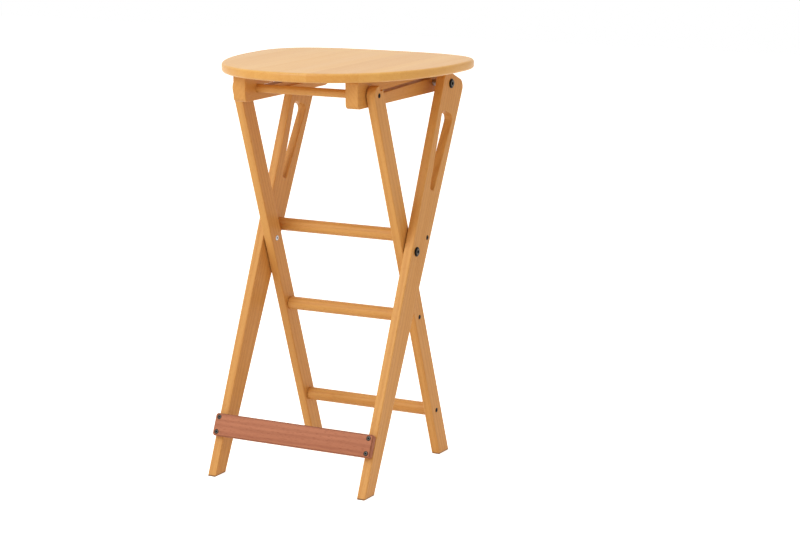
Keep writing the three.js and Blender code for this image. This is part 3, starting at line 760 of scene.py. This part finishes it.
def steel(name, colour, darker, roughness, grit):
    """Plated or blackened steel: metal with a fine uneven tone and satin gloss. `grit` is
    the size of the unevenness in metres, drawn coarser than real so that it shows."""
    material, output = bare_material(name)
    tree = material.node_tree
    place = add(tree, "ShaderNodeTexCoord")
    grains = add(tree, "ShaderNodeTexNoise", inputs={
        "Vector": place.outputs["Object"], "Scale": 1 / grit, "Detail": 3.0})
    colours = add(tree, "ShaderNodeMix", data_type="RGBA", inputs={
        0: grains.outputs["Fac"], 6: linear(colour), 7: linear(darker)})
    gloss = add(tree, "ShaderNodeMapRange", inputs={
        "Value": grains.outputs["Fac"], "From Min": NOISE_LOW, "From Max": NOISE_HIGH,
        "To Min": roughness - GLOSS_SPREAD, "To Max": roughness + GLOSS_SPREAD})
    bump = add(tree, "ShaderNodeBump", inputs={
        "Height": grains.outputs["Fac"], "Strength": 0.2, "Distance": STEEL_RELIEF})
    surface = add(tree, "ShaderNodeBsdfPrincipled", inputs={
        "Base Color": colours.outputs[2],
        "Metallic": 1.0, "Roughness": gloss.outputs[0], "Normal": bump.outputs[0]})
    tree.links.new(surface.outputs[0], output.inputs["Surface"])
    return material


black_oxide = steel("black_oxide_steel", "#211e1c", "#161412", 0.45, 1.2 * MM)
# A lighter grey copy of the blackened steel for the heads' flat faces: a painted highlight
painted_highlight_face = steel("black_oxide_face_with_painted_highlight", "#55524c", "#3f3c38", 0.38, 1.2 * MM)
# Near-black steel for the sockets' walls and floors: painted shade in the recess, for the
# blackened screws and the zinc nuts alike
socket_painted_shade = steel("painted_shade_in_the_socket", "#0e0d0c", "#080707", 0.6, 1.2 * MM)
zinc_plate = steel("zinc_plated_steel", "#c3c6ca", "#a9adb2", 0.34, 1.5 * MM)
# The body's, the flat face's and the socket's material. The blackened heads' lighter flat
# face is a painted highlight, except on the rung screws, and every socket is darkened with
# painted shade
black_parts = [black_oxide, painted_highlight_face, socket_painted_shade]
small_black_parts = [black_oxide, black_oxide, socket_painted_shade]
zinc_parts = [zinc_plate, zinc_plate, socket_painted_shade]
zinc_nodes = [node for node in frame["nodes"]
              if "washer" in node or "spacer" in node or "insert" in node]
for node in zinc_nodes:
    dress(node, zinc_plate)
print("dressed in zinc:", zinc_nodes)

# %% Fastener shape
FASTENER_POINTS = 48
# The socket's floor has an inner ring at this share of its width, and its mouth flares
SOCKET_FLOOR_RING = 0.5
SOCKET_MOUTH_DEPTH = 0.15 * MM
SOCKET_FLARE = 1.05


def fastener(name, seat, axis, profile, socket_flats, socket_depth):
    """A fastener turned about `axis`, which points out of its head. `profile` lists radius
    and height pairs from the rim of the head's flat to the tip. The socket's ring is a
    hexagon, whose radius is half its width over the cosine of the angle from the nearest
    flat's middle. Material 0 is the body's, 1 the head's flat face's, lighter as a painted
    highlight on some heads, and 2 the socket's, darkened as painted shade."""
    turn = np.linspace(0, 2 * pi, FASTENER_POINTS, endpoint=False)
    sector = (turn + pi / 6) % (pi / 3) - pi / 6
    hexagon = socket_flats / 2 / np.cos(sector)
    top = profile[0][1]
    inner = [(hexagon * SOCKET_FLOOR_RING, top - socket_depth), (hexagon, top - socket_depth),
             (hexagon, top - SOCKET_MOUTH_DEPTH), (hexagon * SOCKET_FLARE, top)]
    outer = [(np.full_like(turn, radius), height) for radius, height in profile[:-1]]
    axis = Vector(axis).normalized()
    side = axis.orthogonal().normalized()
    own_axes = np.array([side, axis.cross(side), axis])
    rings = np.stack([np.stack([
        radius * np.cos(turn), radius * np.sin(turn), np.full_like(turn, height)], -1)
        for radius, height in inner + outer])
    ends = np.array([[0, 0, top - socket_depth], [0, 0, profile[-1][1]]])
    mesh = ring_surface(name, rings @ own_axes + np.array(seat),
                        *(ends @ own_axes + np.array(seat)))
    rows = np.repeat(np.arange(len(rings) - 1), FASTENER_POINTS)
    face_row = len(inner) - 1
    kinds = np.where(rows < face_row, 2, np.where(rows == face_row, 1, 0))
    kinds = np.concatenate([kinds, np.repeat([2, 0], FASTENER_POINTS)])
    mesh.polygons.foreach_set("material_index", kinds.astype(np.int32))
    return mesh


print("fastener ring points:", FASTENER_POINTS)

# %% Profiles of the fasteners
# Height of each head above its seat, and each socket's width over flats and its depth
BOLT_HEAD = 2.3 * MM
SCREW_HEAD = 1.5 * MM
NUT_RIM = 0.2 * MM
BOLT_SOCKET = (5 * MM, 3.2 * MM)
SCREW_SOCKET = (2.5 * MM, 1.0 * MM)
NUT_SOCKET = (3 * MM, 2.4 * MM)
BOLT_TIP = 1.2 * MM
SCREW_TIP = 4.0 * MM
NUT_WALL = 4.0 * MM


def bolt_profile(shank):
    """Radius and height outwards over the flat of a low head, round its rim, and down a
    shank of the given length to an eased tip."""
    return [(5.3 * MM, BOLT_HEAD), (5.6 * MM, 2.2 * MM), (7.4 * MM, 0.85 * MM),
            (7.6 * MM, 0.6 * MM), (7.6 * MM, 0.1 * MM), (7.5 * MM, 0), (3.0 * MM, 0),
            (3.0 * MM, BOLT_TIP - shank), (2.4 * MM, -shank), (0, -shank)]


def screw_profile(length):
    """Radius and height over the head, down the screw and to its point."""
    return [(3.1 * MM, SCREW_HEAD), (3.3 * MM, 1.42 * MM), (3.7 * MM, 0.8 * MM),
            (3.7 * MM, 0.06 * MM), (3.64 * MM, 0), (1.9 * MM, 0),
            (1.9 * MM, SCREW_TIP - length), (0, -length)]


def nut_profile(length):
    """Radius and height of a sleeve: over its rim, along its outside, round the far end
    and back up the bore, which the bolt's shank fills, to the wall under the socket."""
    return [(3.8 * MM, NUT_RIM), (4.0 * MM, 0.12 * MM), (4.2 * MM, -NUT_RIM),
            (4.2 * MM, -length), (3.3 * MM, -length), (3.3 * MM, -NUT_WALL), (0, -NUT_WALL)]


print("bolt head, mm:", round(2 * bolt_profile(0)[3][0] / MM, 1))

# %% Bolts, nuts and rung screws
def outer_end(low, high, sign, depth):
    """The point `depth` inside the end of a box that faces the side `sign` along X, in the
    middle of that end."""
    end = high.x if sign > 0 else low.x
    return (end - sign * depth, (low.y + high.y) / 2, (low.z + high.z) / 2)


made = []
for side, sign in SIDES.items():
    out = Vector((sign, 0, 0))
    for kind in ("cross_bolt", "seat_bolt"):
        node = f"{kind}_{side}"
        low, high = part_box(node)
        mesh = fastener(f"socket_{node}", outer_end(low, high, sign, BOLT_HEAD), out,
                        bolt_profile((high.x - low.x) - BOLT_HEAD), *BOLT_SOCKET)
        made.append(piece(f"socket_{node}", mesh, "outer_frame", "black_steel",
                          black_parts, node))
    for kind, (body, _) in bars.items():
        node = f"{kind}_screw_{side}"
        low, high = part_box(node)
        mesh = fastener(f"socket_{node}", outer_end(low, high, sign, SCREW_HEAD), out,
                        screw_profile((high.x - low.x) - SCREW_HEAD), *SCREW_SOCKET)
        made.append(piece(f"socket_{node}", mesh, body, "black_steel",
                          small_black_parts, node))
    # A nut's rim and socket face inwards
    node = f"cross_nut_{side}"
    low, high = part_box(node)
    mesh = fastener(f"sleeve_{node}", outer_end(low, high, -sign, NUT_RIM), -out,
                    nut_profile(high.x - low.x - NUT_RIM), *NUT_SOCKET)
    made.append(piece(f"sleeve_{node}", mesh, "inner_frame", "zinc_steel", zinc_parts, node))
print("fasteners along X:", len(made))

# %% Footrest and batten screws
# The footrest's screws point into the legs' front edges, square to the lean. Their heads'
# seats lie this far from the cross bolts' axis: out past the leg's edge and the board, with
# a gap at each of the two, and back by the height of a head
LEG_FRONT_MARGIN = 15.75 * MM
FIT_GAP = 0.3 * MM
HEAD_SEAT = (LEG_FRONT_MARGIN + 2 * FOOTREST_HALF_THICKNESS + 2 * FIT_GAP) - SCREW_HEAD
# Along the legs from the cross bolts' axis, and from there to each screw
FOOTREST_MIDDLE = -314.35 * MM
FOOTREST_SCREW_STEP = 11.9 * MM
FOOTREST_SCREW = 36 * MM
BATTEN_SCREW = 40 * MM
into_front = Vector((0, -cos(OUTER_LEAN), sin(OUTER_LEAN)))
up_leg = Vector((0, sin(OUTER_LEAN), cos(OUTER_LEAN)))

made = []
for side in SIDES:
    for level, step in {"lower": -FOOTREST_SCREW_STEP, "upper": FOOTREST_SCREW_STEP}.items():
        node = f"footrest_screw_{side}_{level}"
        low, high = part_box(node)
        seat = CROSS_PIVOT + into_front * HEAD_SEAT + up_leg * (FOOTREST_MIDDLE + step)
        seat.x = (low.x + high.x) / 2
        mesh = fastener(f"socket_{node}", seat, into_front,
                        screw_profile(FOOTREST_SCREW), *SCREW_SOCKET)
        made.append(piece(f"socket_{node}", mesh, "outer_frame", "black_steel",
                          black_parts, node))
    # The batten screws come from below, and their heads face down
    for end in ("front", "rear"):
        node = f"batten_screw_{side}_{end}"
        low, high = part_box(node)
        seat = ((low.x + high.x) / 2, (low.y + high.y) / 2, low.z + SCREW_HEAD)
        mesh = fastener(f"socket_{node}", seat, (0, 0, -1),
                        screw_profile(BATTEN_SCREW), *SCREW_SOCKET)
        made.append(piece(f"socket_{node}", mesh, "seat", "black_steel", black_parts, node))
print("footrest and batten screws:", len(made))
